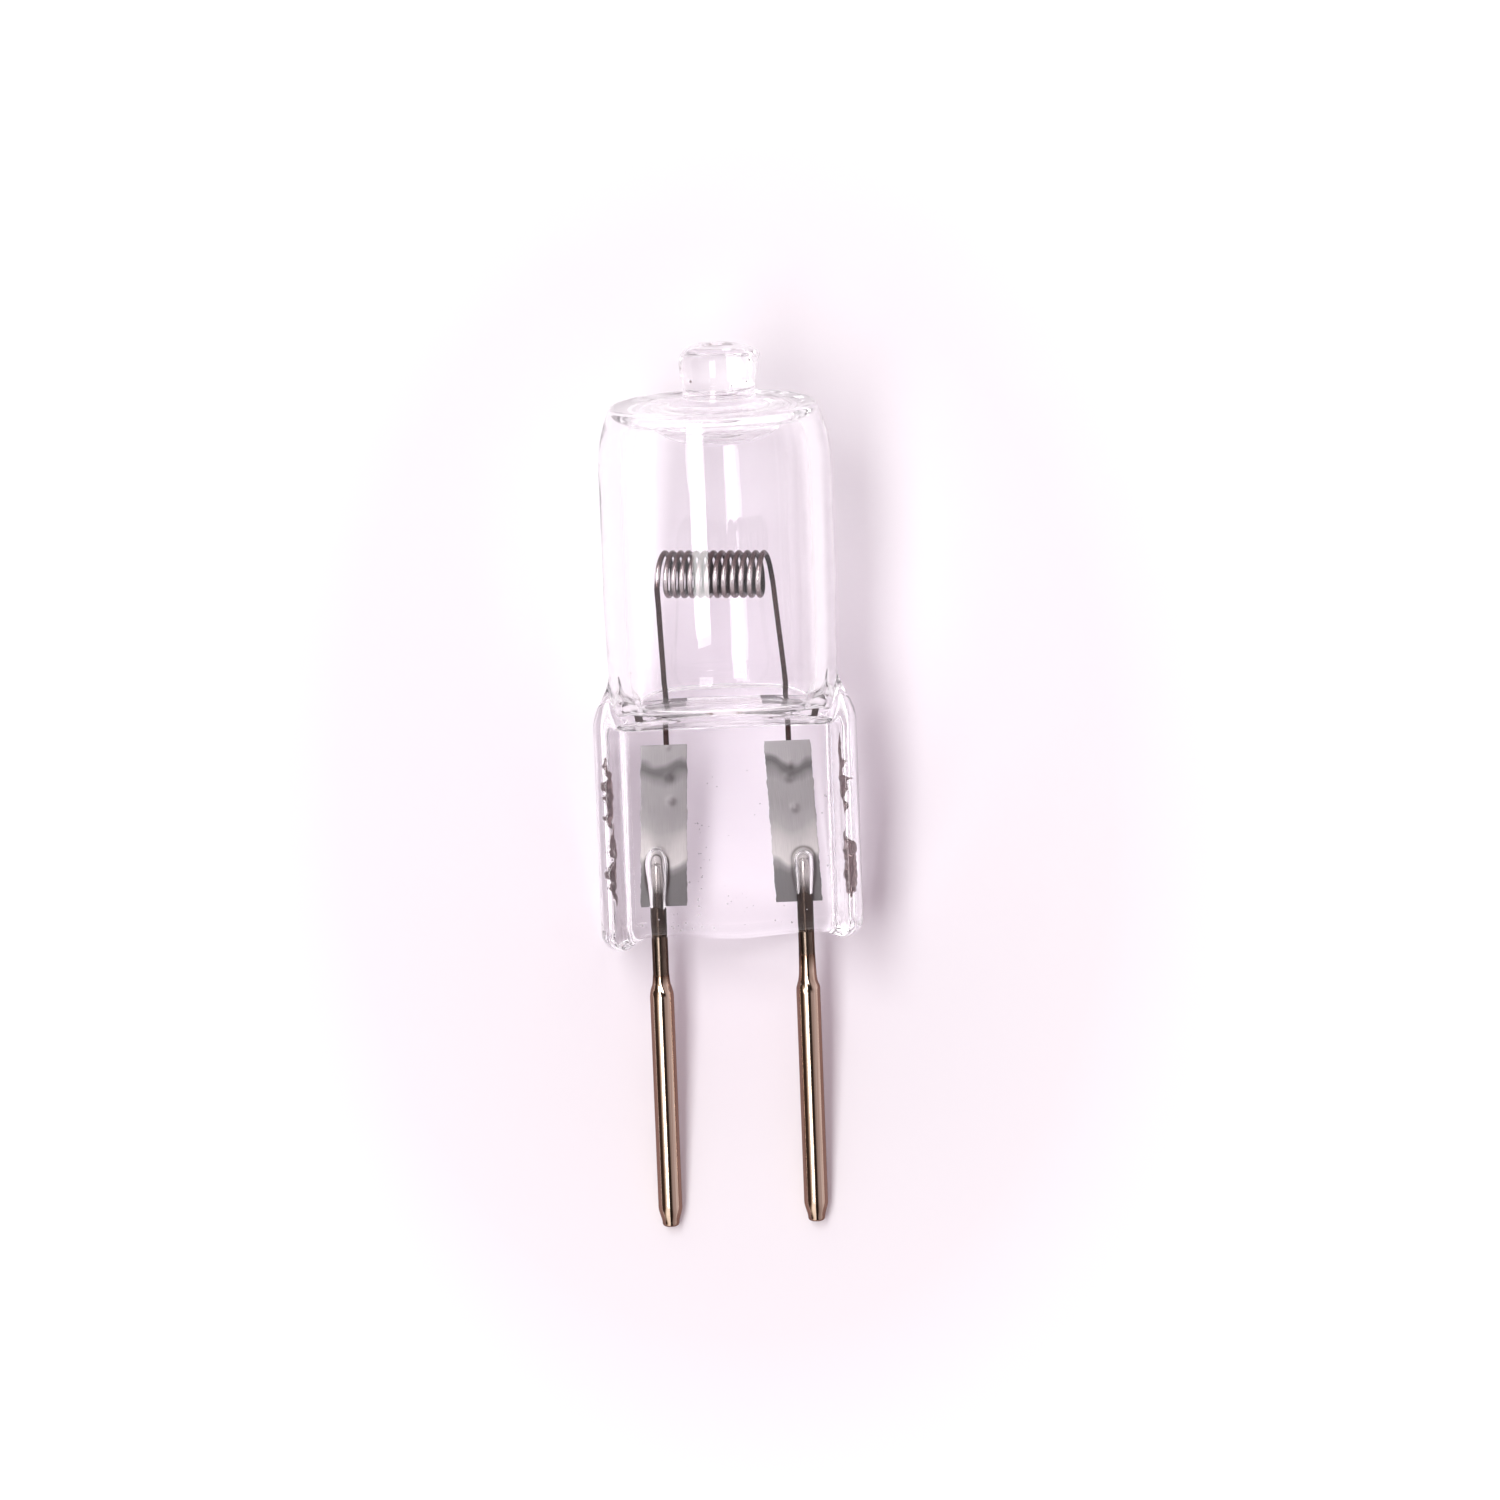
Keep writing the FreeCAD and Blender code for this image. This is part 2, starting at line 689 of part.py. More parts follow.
# Sealed chamber: round in the tube, narrowing to a slit above the pinch, with a drop of quartz
# hanging from its roof under the exhaust tip.
def chamber():
    wall = Length(tube_diameter=0.5, tube_wall=-1)
    start = Length(*TUBE_START)
    roof = Length(*TUBE_TOP, top_wall=-1)
    drop = Length(tube_diameter=0.5, tube_wall=-1, chamber_bevel=-1, chamber_roof_flat=-1)
    drop_end = Length(*TUBE_TOP, top_wall=-1, chamber_drop_depth=-1)
    corners = [
        (ZERO, start),
        (wall, start),
        (wall, Length(*TUBE_TOP, top_wall=-1, chamber_bevel=-1)),
        (Length(tube_diameter=0.5, tube_wall=-1, chamber_bevel=-1), roof),
        (drop, roof),
        (Length(chamber_drop_flat=0.5), drop_end),
        (ZERO, drop_end),
    ]
    body = turned_body("chamber_round", corners)
    inner = "Sizes.tube_diameter - 2 * Sizes.tube_wall"
    mouth = ellipse("chamber_mouth", inner, inner, start.rule)
    floor = ellipse(
        "chamber_end",
        "Sizes.chamber_floor_width",
        "Sizes.chamber_floor_depth",
        Length(*CHAMBER_FLOOR).rule,
    )
    wedge = loft("chamber_wedge", [mouth, oval("chamber_high"), oval("chamber_low"), floor], ruled=True)
    return fuse("chamber", [body, wedge])


def quartz_envelope(name):
    bead = side_bead()
    pieces = [tube(), exhaust_tip(), tip_lip(), shoulder(), pinch_web()]
    pieces += [bead, mirrored("bead_left", bead)]
    spaces = [chamber()]
    for side, word in ((LEFT, "left"), (RIGHT, "right")):
        slot = foil("foil_slot_" + word)
        slot.Placement = foil_place(side)
        channel = lead_channel("lead_channel_" + word)
        channel.Placement = lead_place(side)
        sign = "-" if side == LEFT else ""
        leg = leg_foot("leg_channel_" + word, f"{sign}Sizes.leg_{word}", room="Sizes.wire_gap")
        spaces += [slot, channel, leg]
    return cut(name, fuse("envelope_solid", pieces), fuse("envelope_spaces", spaces))


# Resting pose: the lamp lies on the ends of its pin barrels and on the lower end of its tube.
def rest_place():
    pin_radius = size("pin_diameter") / 2
    rise = size("tube_diameter") / 2 - pin_radius
    lean = math.atan2(rise, Length(*TUBE_START).value - size("pin_tip_length"))
    lift = pin_radius * math.cos(lean) - size("pin_tip_length") * math.sin(lean)
    near_end = -size("pin_tip_diameter") / 2 * math.sin(lean)
    tip_flat = size("tip_flat_diameter") / 2
    far_end = Length(*TIP_END).value * math.cos(lean) + tip_flat * math.sin(lean)
    turned = FreeCAD.Rotation(ALONG_X, math.degrees(lean) - 90)
    return FreeCAD.Placement(Vector(0, -(near_end + far_end) / 2, lift), turned)


rest = rest_place()
nodes = []


def place_node(item, name, own_place):
    item.Label = name
    item.Placement = rest.multiply(own_place)
    nodes.append(item)


upright = FreeCAD.Placement()
place_node(quartz_envelope("quartz_envelope"), "quartz_envelope", upright)
place_node(filament("filament"), "filament", upright)
for side, word in ((LEFT, "left"), (RIGHT, "right")):
    place_node(foil("foil_" + word), "foil_" + word, foil_place(side))
    place_node(lead_wire("lead_wire_" + word), "lead_wire_" + word, lead_place(side))
    place_node(contact_pin("contact_pin_" + word), "contact_pin_" + word, lead_place(side))
doc.recompute()

for item in doc.Objects:
    bad = [state for state in item.State if state in ("Invalid", "Error")]
    if bad:
        raise RuntimeError(f"{item.Label} did not build: {bad}")
os.makedirs("parts", exist_ok=True)
for item in nodes:
    shape = item.Shape
    if shape.isNull() or not shape.isValid() or len(shape.Solids) != 1:
        raise RuntimeError(f"{item.Label} is not one valid solid")
    shape.exportStep(f"parts/{item.Label}.step")
    print(item.Label, round(shape.Volume, 4))
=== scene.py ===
import math

import bpy
import numpy as np
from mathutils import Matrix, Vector


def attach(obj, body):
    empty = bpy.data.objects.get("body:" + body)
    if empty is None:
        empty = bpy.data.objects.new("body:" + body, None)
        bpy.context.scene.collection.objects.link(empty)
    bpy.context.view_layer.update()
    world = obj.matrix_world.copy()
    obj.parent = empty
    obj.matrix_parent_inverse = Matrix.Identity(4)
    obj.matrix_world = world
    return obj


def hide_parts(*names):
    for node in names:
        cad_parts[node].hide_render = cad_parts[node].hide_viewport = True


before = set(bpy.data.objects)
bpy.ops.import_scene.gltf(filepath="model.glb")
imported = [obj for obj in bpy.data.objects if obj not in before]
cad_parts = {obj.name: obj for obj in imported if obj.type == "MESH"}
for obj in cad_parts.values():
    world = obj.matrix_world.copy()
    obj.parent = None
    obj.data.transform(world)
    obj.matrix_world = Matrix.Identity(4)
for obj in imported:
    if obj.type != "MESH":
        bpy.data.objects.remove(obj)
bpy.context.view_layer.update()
scene = bpy.context.scene

# The lamp is described upright, in millimetres from the pin tips, with its front at -y. It is laid down as
# the CAD part lies: on its pin tips and on the tube's side just above the shoulder.
MM = 0.001
TUBE = 5.0
PIN_RADIUS = 0.52
PIN_X = 3.175
REST_LOW, REST_HIGH = 0.85, 24.8
LEAN = math.atan2(TUBE - PIN_RADIUS, REST_HIGH - REST_LOW)
COS, SIN = math.cos(LEAN), math.sin(LEAN)
SHIFT_Y, SHIFT_Z = -19.0323, 0.35486
WORDS = {-1: "left", 1: "right"}


def lay(points):
    p = np.asarray(points, float).reshape(-1, 3)
    x, y, z = p[:, 0], p[:, 1], p[:, 2]
    return np.stack([x, SHIFT_Y + z * COS + y * SIN, SHIFT_Z + z * SIN - y * COS], 1) * MM


def smooth(a, b, v):
    t = np.clip((np.asarray(v, float) - a) / (b - a), 0, 1)
    return t * t * (3 - 2 * t)


def bump(v, centre, width):
    return np.exp(-(((np.asarray(v, float) - centre) / width) ** 2))


def curve(knots, at):
    """Monotone cubic through (position, value) knots."""
    k = np.array(knots, float)
    x, y = k[:, 0], k[:, 1]
    h, d = np.diff(x), np.diff(y) / np.diff(x)
    m = np.zeros(len(x))
    m[0], m[-1] = d[0], d[-1]
    for i in range(1, len(x) - 1):
        if d[i - 1] * d[i] > 0:
            w1, w2 = 2 * h[i] + h[i - 1], h[i] + 2 * h[i - 1]
            m[i] = (w1 + w2) / (w1 / d[i - 1] + w2 / d[i])
    v = np.clip(np.asarray(at, float), x[0], x[-1])
    i = np.clip(np.searchsorted(x, v, side="right") - 1, 0, len(h) - 1)
    t = (v - x[i]) / h[i]
    return ((2 * t**3 - 3 * t**2 + 1) * y[i] + (t**3 - 2 * t**2 + t) * h[i] * m[i]
            + (-2 * t**3 + 3 * t**2) * y[i + 1] + (t**3 - t**2) * h[i] * m[i + 1])


def noise1(v, seed, scale):
    """Smooth wandering number along v, about -1 to 1."""
    draw = np.random.default_rng(seed)
    v = np.asarray(v, float)
    total = np.zeros_like(v)
    for k in range(1, 6):
        pace, phase = draw.uniform(0.7, 1.3), draw.uniform(0, 6.28)
        total += math.sqrt(1.0 / k) * np.sin(v * scale * k * pace + phase)
    return total / 2.2


def turn_of(count):
    """Angles of a ring of points."""
    return np.linspace(0, 2 * math.pi, count, endpoint=False)


def ring_at(x, y, z):
    """Row of points from x, y and z, of which any may be one number."""
    return np.stack(np.broadcast_arrays(x, y, z), 1)


class Shape:
    """Collects points and faces of one piece, in the lamp's own millimetres."""

    def __init__(self):
        self.points, self.faces, self.uv = [], [], []

    def add(self, points, uv=None):
        start = len(self.points)
        points = [tuple(p) for p in points]
        self.points += points
        self.uv += [(0, 0)] * len(points) if uv is None else [tuple(c) for c in uv]
        return start

    def rings(self, rings, first_pole=None, last_pole=None, inward=False):
        """Joins rings of equal length, each a row of points, and closes the ends with a point."""
        rings = np.asarray(rings, float)
        rows, count = rings.shape[:2]
        v, u = np.meshgrid(np.linspace(0, 1, rows), np.linspace(0, 1, count, endpoint=False), indexing="ij")
        start = self.add(rings.reshape(-1, 3), np.stack([u.ravel(), v.ravel()], 1))
        faces = []
        for r in range(rows - 1):
            a, b = start + r * count, start + (r + 1) * count
            for c in range(count):
                d = (c + 1) % count
                faces.append((a + c, a + d, b + d, b + c))
        for pole, row, order in ((first_pole, 0, -1), (last_pole, rows - 1, 1)):
            if pole is not None:
                tip = self.add([pole], [(0.5, row / (rows - 1))])
                a = start + row * count
                for c in range(count):
                    ends = (a + c, a + (c + 1) % count)
                    faces.append((ends if order > 0 else ends[::-1]) + (tip,))
        self.faces += [f[::-1] for f in faces] if inward else faces
        return start

    def build(self, name, look, replaced, slot, **values):
        """Makes the piece that stands for one solid, with a point attribute for each row of values."""
        mesh = bpy.data.meshes.new(name)
        mesh.from_pydata(lay(self.points).tolist(), [], self.faces)
        mesh.validate()
        layer = mesh.uv_layers.new(name="UVMap")
        index = np.zeros(len(mesh.loops), np.int32)
        mesh.loops.foreach_get("vertex_index", index)
        layer.data.foreach_set("uv", np.array(self.uv, np.float32)[index].ravel())
        mesh.polygons.foreach_set("use_smooth", np.ones(len(mesh.polygons), bool))
        mesh.materials.append(look)
        for label, row in values.items():
            mesh.attributes.new(label, "FLOAT", "POINT").data.foreach_set("value", row)
        piece = bpy.data.objects.new(name, mesh)
        scene.collection.objects.link(piece)
        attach(piece, "root")
        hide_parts(replaced)


# Materials
class Graph:
    """Shader nodes of a material or of the world, with short ways to add and join them."""

    def __init__(self, owner):
        owner.use_nodes = True
        self.owner = owner
        self.nodes, self.links = owner.node_tree.nodes, owner.node_tree.links

    def put(self, target, value):
        """Feeds an input from another node's output, or sets its value."""
        if isinstance(value, bpy.types.NodeSocket):
            self.links.new(value, target)
        elif target.type == "RGBA":
            target.default_value = (*value, 1)
        else:
            target.default_value = value

    def node(self, kind, inputs, **settings):
        made = self.nodes.new("ShaderNode" + kind)
        for key, value in settings.items():
            setattr(made, key, value)
        for key, value in inputs.items():
            self.put(made.inputs[key], value)
        return made

    def place(self, coord):
        return self.node("TexCoord", {}).outputs[coord]

    def axes(self, coord):
        return self.node("SeparateXYZ", {"Vector": self.place(coord)}).outputs

    def scaled(self, coord, scale):
        return self.node("Mapping", {"Vector": self.place(coord), "Scale": scale}).outputs["Vector"]

    def noise(self, coord, scale, detail, stretch=(1, 1, 1)):
        """Noise on object or UV coordinates, drawn out along an axis by stretch."""
        inputs = {"Vector": self.scaled(coord, stretch), "Scale": scale, "Detail": detail}
        return self.node("TexNoise", inputs).outputs["Fac"]

    def attribute(self, name):
        return self.node("Attribute", {}, attribute_name=name).outputs["Fac"]

    def math(self, operation, *values, **settings):
        return self.node("Math", dict(enumerate(values)), operation=operation, **settings).outputs["Value"]

    def remap(self, value, source, target, **settings):
        inputs = {"Value": value, "From Min": source[0], "From Max": source[1],
                  "To Min": target[0], "To Max": target[1]}
        return self.node("MapRange", inputs, **settings).outputs["Result"]

    def ramp(self, factor, stops):
        made = self.node("ValToRGB", {"Fac": factor})
        elements = made.color_ramp.elements
        while len(elements) < len(stops):
            elements.new(0.5)
        for element, (position, colour) in zip(elements, stops):
            element.position = position
            element.color = (*colour, 1)
        return made.outputs["Color"]

    def mix(self, factor, a, b, blend="MIX"):
        inputs = {"Factor": factor, "A": a, "B": b}
        return self.node("Mix", inputs, data_type="RGBA", blend_type=blend).outputs["Result"]

    def multiply(self, a, b):
        return self.mix(1.0, a, b, "MULTIPLY")

    def bump(self, height, strength, distance):
        inputs = {"Height": height, "Strength": strength, "Distance": distance}
        return self.node("Bump", inputs).outputs["Normal"]

    def rays(self):
        """Light path, and a factor that is 1 for light seen through the clear glass or mirrored by it."""
        path = self.node("LightPath", {}).outputs
        return path, self.math("MAXIMUM", path["Is Transmission Ray"], path["Is Singular Ray"])

    def finish(self, shader, inputs):
        for key, value in inputs.items():
            self.put(self.nodes[shader].inputs[key], value)
        return self.owner


def new_material(name):
    return Graph(bpy.data.materials.new(name))


def quartz_material():
    g = new_material("fused_quartz")
    grain = g.noise("Object", 900, 3)
    tint = g.ramp(grain, [(0.3, (0.985, 0.972, 0.985)), (0.7, (1.0, 0.99, 1.0))])
    # The folds' glass is tinted dark by the point attribute: painted shade that stands for the dark surroundings seen
    # in them. The stub's specks get the same dark tint.
    return g.finish("Principled BSDF", {
        "Transmission Weight": 1.0,
        "IOR": 1.458,
        "Base Color": g.mix(g.attribute("fold"), tint, (0.22, 0.16, 0.16)),
        "Roughness": g.remap(grain, (0, 1), (0.0, 0.003))})


def tungsten_material():
    g = new_material("drawn_tungsten")
    grain = g.noise("Object", 9000, 5)
    # The colour follows painted light and shade from the point attribute: dark inside the coil, bright on its outward
    # faces, brightest in a painted highlight level with the coil's axis.
    colour = g.ramp(g.attribute("outside"), [
        (0.0, (0.016, 0.009, 0.009)), (0.2, (0.055, 0.03, 0.028)), (0.36, (0.11, 0.066, 0.064)),
        (0.55, (0.26, 0.20, 0.20)), (0.8, (0.58, 0.53, 0.53)), (1.0, (0.92, 0.88, 0.87))])
    fine = g.ramp(grain, [(0.3, (0.72, 0.70, 0.70)), (0.7, (1.0, 1.0, 1.0))])
    return g.finish("Principled BSDF", {
        "Metallic": 1.0,
        "Base Color": g.multiply(colour, fine),
        "Roughness": 0.22,
        "Normal": g.bump(grain, 0.15, 0.00002)})


def foil_material():
    """Rolled sheet whose tone runs in bands along its length, bent by blotches and sagging in the middle. The bright
    band above the lower part is a painted highlight and the dark lower part is painted shade; the other bands are the
    sheet's own tone.
    """
    g = new_material("rolled_molybdenum")
    streaks = g.noise("UV", 6, 6, (22, 1.2, 1))
    blotch = g.noise("Object", 620, 2)
    place = g.axes("UV")
    along = g.math("MULTIPLY_ADD", blotch, 0.16, place["Y"])
    from_edge = g.math("PINGPONG", place["X"], 0.5)
    sag = g.remap(from_edge, (0, 0.42), (0, 0.045), interpolation_type="SMOOTHERSTEP")
    # Tone along the sheet: the dark lower end is painted shade and the bright band above it is a painted highlight.
    # The mid and dark bands higher up are the sheet's own tone.
    tone = g.ramp(g.math("ADD", sag, along), [
        (0.02, (0.19, 0.185, 0.185)), (0.30, (0.21, 0.205, 0.205)), (0.345, (0.34, 0.33, 0.325)),
        (0.385, (0.76, 0.74, 0.72)), (0.47, (0.68, 0.66, 0.645)), (0.58, (0.44, 0.43, 0.425)),
        (0.72, (0.37, 0.36, 0.36)), (0.85, (0.40, 0.39, 0.39)), (0.91, (0.27, 0.265, 0.265)),
        (0.94, (0.16, 0.155, 0.155)), (0.965, (0.19, 0.185, 0.185)), (1.0, (0.46, 0.45, 0.45))])
    fine = g.ramp(streaks, [(0.25, (0.68, 0.67, 0.67)), (0.75, (0.92, 0.91, 0.91))])
    # The point attribute paints shade: a dark ring on the foil where the rim of the lead's pocket lies in front of
    # it.
    return g.finish("Principled BSDF", {
        "Metallic": 0.6,
        "Base Color": g.mix(g.attribute("stain"), g.multiply(tone, fine), (0.035, 0.024, 0.02)),
        "Roughness": 0.42,
        "Normal": g.bump(streaks, 0.15, 0.00001)})


def lead_material():
    """Drawn wire, browned where it is out of the glass, painted darker as shade where the glass grips it and painted
    lighter as a glint at its end in the pocket.
    """
    g = new_material("molybdenum_lead")
    streaks = g.noise("UV", 5, 6, (30, 2, 1))
    colour = g.ramp(streaks, [(0.32, (0.06, 0.04, 0.03)), (0.55, (0.19, 0.145, 0.12)), (0.78, (0.46, 0.38, 0.33))])
    height = g.axes("UV")["Y"]
    # Painted shade: darker along the part that the glass grips. Painted glint: lighter at the end inside its pocket.
    gripped_painted_shade = g.ramp(height, [(0.50, (1, 1, 1)), (0.53, (0.34, 0.32, 0.31)), (0.74, (0.30, 0.28, 0.27))])
    end_painted_glint = g.ramp(height, [(0.76, (0, 0, 0)), (0.83, (1, 1, 1))])
    return g.finish("Principled BSDF", {
        "Metallic": 1.0,
        "Base Color": g.mix(end_painted_glint, g.multiply(colour, gripped_painted_shade), (0.50, 0.475, 0.45)),
        "Roughness": 0.22,
        "Normal": g.bump(streaks, 0.12, 0.000006)})


def pin_material():
    g = new_material("plated_pin")
    streaks = g.noise("UV", 4, 7, (12, 1.4, 1))
    colour = g.ramp(streaks, [(0.25, (0.64, 0.46, 0.36)), (0.75, (0.90, 0.75, 0.65))])
    ends = g.ramp(g.axes("UV")["Y"], [
        (0.0, (0.72, 0.68, 0.66)), (0.16, (1, 1, 1)), (0.84, (1, 1, 1)), (1.0, (0.24, 0.18, 0.15))])
    return g.finish("Principled BSDF", {
        "Metallic": 1.0,
        "Base Color": g.multiply(colour, ends),
        "Roughness": g.remap(streaks, (0, 1), (0.08, 0.17)),
        "Normal": g.bump(streaks, 0.1, 0.000004)})


QUARTZ = quartz_material()
TUNGSTEN = tungsten_material()
FOIL = foil_material()
LEAD = lead_material()
PIN = pin_material()

# Quartz envelope: sizes of the pinch section, heights, and profiles as (height, size) knots.
QUARTER = 48
PINCH_HALF, RIDGE, SLOPE, WEB, BEAD = 5.675, 5.12, 0.8, 1.45, 2.15
PINCH_LOW, PINCH_TOP = 13.05, 22.1
PINCH_EDGE = 0.55
PRESS_ROUND = 0.35
# heights over which the pinch's outline turns into the tube's, its flat fades and the two begin to merge
TO_TUBE, FLAT_FADE, MERGE = (22.2, 24.5), (22.0, 24.3), (22.1, 22.6)
BROW_FOOT, RIM, STUB_TOP = 33.3, 36.08, 38.55
STUB_ASIDE = 0.3
# half depth that the press leaves at each height
SLOPE_DEPTH = [(22.1, 1.3), (22.24, 1.36), (22.38, 1.62), (22.51, 2.02), (22.64, 2.5), (22.77, 3.0), (22.9, 3.47),
               (23.02, 3.9), (23.15, 4.35), (23.28, 4.77), (23.42, 5.15), (23.7, 5.9)]
# the tube's radius as it draws in towards the pinch
TUBE_REACH = [(22.0, 4.62), (23.4, 4.69), (24.2, 4.75), (24.8, 4.805), (25.4, 4.865), (26.0, 4.922), (26.6, 4.967),
              (27.2, 4.992), (27.8, 5.0), (28.4, 5.0)]
BROW = [(33.3, 5.0), (33.8, 4.985), (34.3, 4.94), (34.8, 4.85), (35.2, 4.74), (35.55, 4.63), (35.85, 4.52),
        (35.96, 4.47)]
STUB = [(36.1, 1.9), (36.2, 1.7), (36.4, 1.58), (36.8, 1.55), (37.1, 1.58), (37.4, 1.63), (37.8, 1.65), (38.1, 1.6),
        (38.4, 1.4), (38.55, 1.15)]


def pinch_quarter(s):
    """Quarter of the pinch section, as s goes from 0 to 1: the bead's outer face, its inner slope and the web."""
    bead_end, slope_end, fullness = 0.30, 0.52, 2 / 2.6
    a = np.clip(s / bead_end, 0, 1) * math.pi / 2
    x_out = RIDGE + (PINCH_HALF - RIDGE) * np.cos(a).clip(0) ** fullness
    y_out = BEAD * np.sin(a).clip(0) ** fullness
    t = np.clip((s - bead_end) / (slope_end - bead_end), 0, 1)
    x_in = RIDGE - t * SLOPE
    y_in = WEB + (BEAD - WEB) * (0.5 + 0.5 * np.cos(math.pi * t))
    x_web = (RIDGE - SLOPE) * (1 - np.clip((s - slope_end) / (1 - slope_end), 0, 1))
    outer, inner = s <= bead_end, (s > bead_end) & (s <= slope_end)
    return np.where(outer, x_out, np.where(inner, x_in, x_web)), np.where(outer, y_out, np.where(inner, y_in, WEB))


def whole(x, y):
    """Closes a quarter outline, given from the side to the back, into a full ring."""
    qx = np.concatenate([x[:-1], -x[::-1][:-1], -x[:-1], x[::-1][:-1]])
    qy = np.concatenate([y[:-1], y[::-1][:-1], -y[:-1], -y[::-1][:-1]])
    return qx, qy


SHARE = np.linspace(0, 1, QUARTER + 1)
PX, PY = pinch_quarter(SHARE)
CX, CY = np.cos(SHARE * math.pi / 2), np.sin(SHARE * math.pi / 2)
ROUND_X, ROUND_Y = whole(CX, CY)
ANGLE = np.arctan2(ROUND_Y, ROUND_X)


def outer_ring(z):
    """Section of the glass at one height: the pinch, the tube cut by the press, or the larger of the two."""
    if z <= PINCH_TOP:
        return whole(PX, PY)
    reach = float(curve(TUBE_REACH, z))
    wide = TUBE - 0.35 * (TUBE - reach)
    fade = float(smooth(*TO_TUBE, z))
    x = PX * (1 - fade) + wide * CX * fade
    flat = PY * (1 - float(smooth(*FLAT_FADE, z)))
    round_y = reach * np.sqrt(np.clip(1 - (x / wide) ** 2, 0, None))
    last, deepest = SLOPE_DEPTH[-1]
    press = float(curve(SLOPE_DEPTH, z)) if z < last else deepest + 2.5 * (z - last)
    lesser = 0.5 * (round_y + press - np.sqrt((round_y - press) ** 2 + PRESS_ROUND ** 2))
    cut_y = np.where(round_y > 0, lesser, 0)
    cut_y = np.clip(cut_y + 0.25 * PRESS_ROUND ** 2 / np.maximum(press + round_y, 0.5), 0, round_y)
    blend = 0.75 * float(smooth(*MERGE, z)) * (1 - fade) * smooth(0.0, 0.9, flat)
    y = 0.5 * (flat + cut_y + np.sqrt((flat - cut_y) ** 2 + blend ** 2))
    return whole(x, y)


def underside(x):
    """How far the pinch's lower end hangs below its nominal height."""
    left = 0.38 * smooth(3.5, 4.7, -x)
    right = 0.12 * smooth(3.5, 4.7, x)
    return left + right + 0.2 * bump(x, 0.2, 2.0)


def body_rings():
    """Rings from the pinch's rounded lower end up to the brow."""
    heights = [(PINCH_LOW + PINCH_EDGE * (1 - math.cos(a)), PINCH_EDGE * (1 - math.sin(a)))
               for a in np.linspace(0.12, math.pi / 2, 9)]
    for low, high, count in ((PINCH_LOW + PINCH_EDGE + 0.15, 22.0, 47), (PINCH_TOP, 25.2, 76), (25.5, BROW_FOOT, 27)):
        heights += [(z, 0.0) for z in np.linspace(low, high, count)]
    rings = []
    for z, inset in heights:
        x, y = outer_ring(z)
        if inset:
            x = x - np.sign(x) * np.minimum(inset, np.abs(x)) * smooth(3.4, 5.4, np.abs(x))
            y = np.sign(y) * np.maximum(np.abs(y) - inset, np.abs(y) * 0.3)
        drop = underside(x) * (1 - float(smooth(13.3, 16.0, z)))
        if z > 25:
            sway = 0.012 * noise1(np.arctan2(y, x) * 2, 5, 1.0) + 0.01 * float(noise1(z, 9, 0.9))
            x, y = x * (1 + sway / TUBE), y * (1 + sway / TUBE)
        rings.append(ring_at(x, y, z - drop))
    return rings


def top_rings():
    """Rings of the brow, the rim, the shallow crown and the melted-off stub with its lip."""
    profile = [(float(curve(BROW, z)), z) for z in np.linspace(33.4, 35.96, 34)]
    profile += [(4.43, 36.01), (4.37, 36.05), (4.29, 36.075), (4.2, RIM)]
    profile += [(r, RIM - 0.06 * math.sin((4.2 - r) / 2.15 * math.pi)) for r in np.linspace(4.0, 2.05, 10)]
    stub_heights = np.concatenate([np.linspace(36.12, 37.9, 24), np.linspace(37.95, STUB_TOP, 14)])
    profile += [(float(curve(STUB, z)), z) for z in stub_heights]
    profile += [(r, STUB_TOP + 0.1 * (1 - (r / 1.15) ** 2)) for r in (0.95, 0.7, 0.42, 0.2)]
    rings = []
    for r, z in profile:
        lip = 0.22 * bump(ANGLE, 0.1, 0.55) * float(bump(z, 38.25, 0.28))
        uneven = 0.05 * noise1(ANGLE, 3, 1.0) * float(smooth(36.9, 38.0, z)) * min(1.0, r)
        radius = r + lip + uneven
        aside = STUB_ASIDE * float(smooth(2.6, 1.9, r))
        rise = 0.06 * np.cos(ANGLE - 2.2) * float(smooth(37.2, 38.4, z)) * r / 1.4
        rings.append(ring_at(aside + radius * np.cos(ANGLE), radius * np.sin(ANGLE), z + rise))
    return rings


def close_underside(shape, start, ring):
    """Fills the pinch's lower end with rows of faces from the back edge to the front edge."""
    count, half, rows = len(ring), len(ring) // 2, 10
    columns = []
    for k in range(half + 1):
        one, other = k, (count - k) % count
        if k in (0, half):
            columns.append([start + one] * (rows + 1))
            continue
        line = []
        for t in np.arange(1, rows) / rows:
            point = ring[one] * (1 - t) + ring[other] * t
            line.append(point + np.array([0, 0, -0.05 * math.sin(math.pi * t)]))
        first = shape.add(line)
        columns.append([start + one] + list(range(first, first + rows - 1)) + [start + other])
    for here, beside in zip(columns, columns[1:]):
        for j in range(rows):
            face = [here[j], here[j + 1], beside[j + 1], beside[j]]
            face = [f for i, f in enumerate(face) if f not in face[:i]]
            if len(face) > 2:
                shape.faces.append(tuple(face))


def envelope():
    shape = Shape()
    rings = body_rings() + top_rings()
    start = shape.rings(rings, last_pole=(STUB_ASIDE, 0, 38.66))
    close_underside(shape, start, rings[0])
    chamber(shape)
    for side in (-1, 1):
        lead_pocket(shape, side)
    dark = folds_and_bubbles(shape)
    # Painted shade: the folds' points, and the stub's specks, are marked for a dark tint of the glass.
    shade = np.zeros(len(shape.points))
    shade[dark] = 1.0
    shape.build("quartz_bulb", QUARTZ, "quartz_envelope", "quartz", fold=shade)


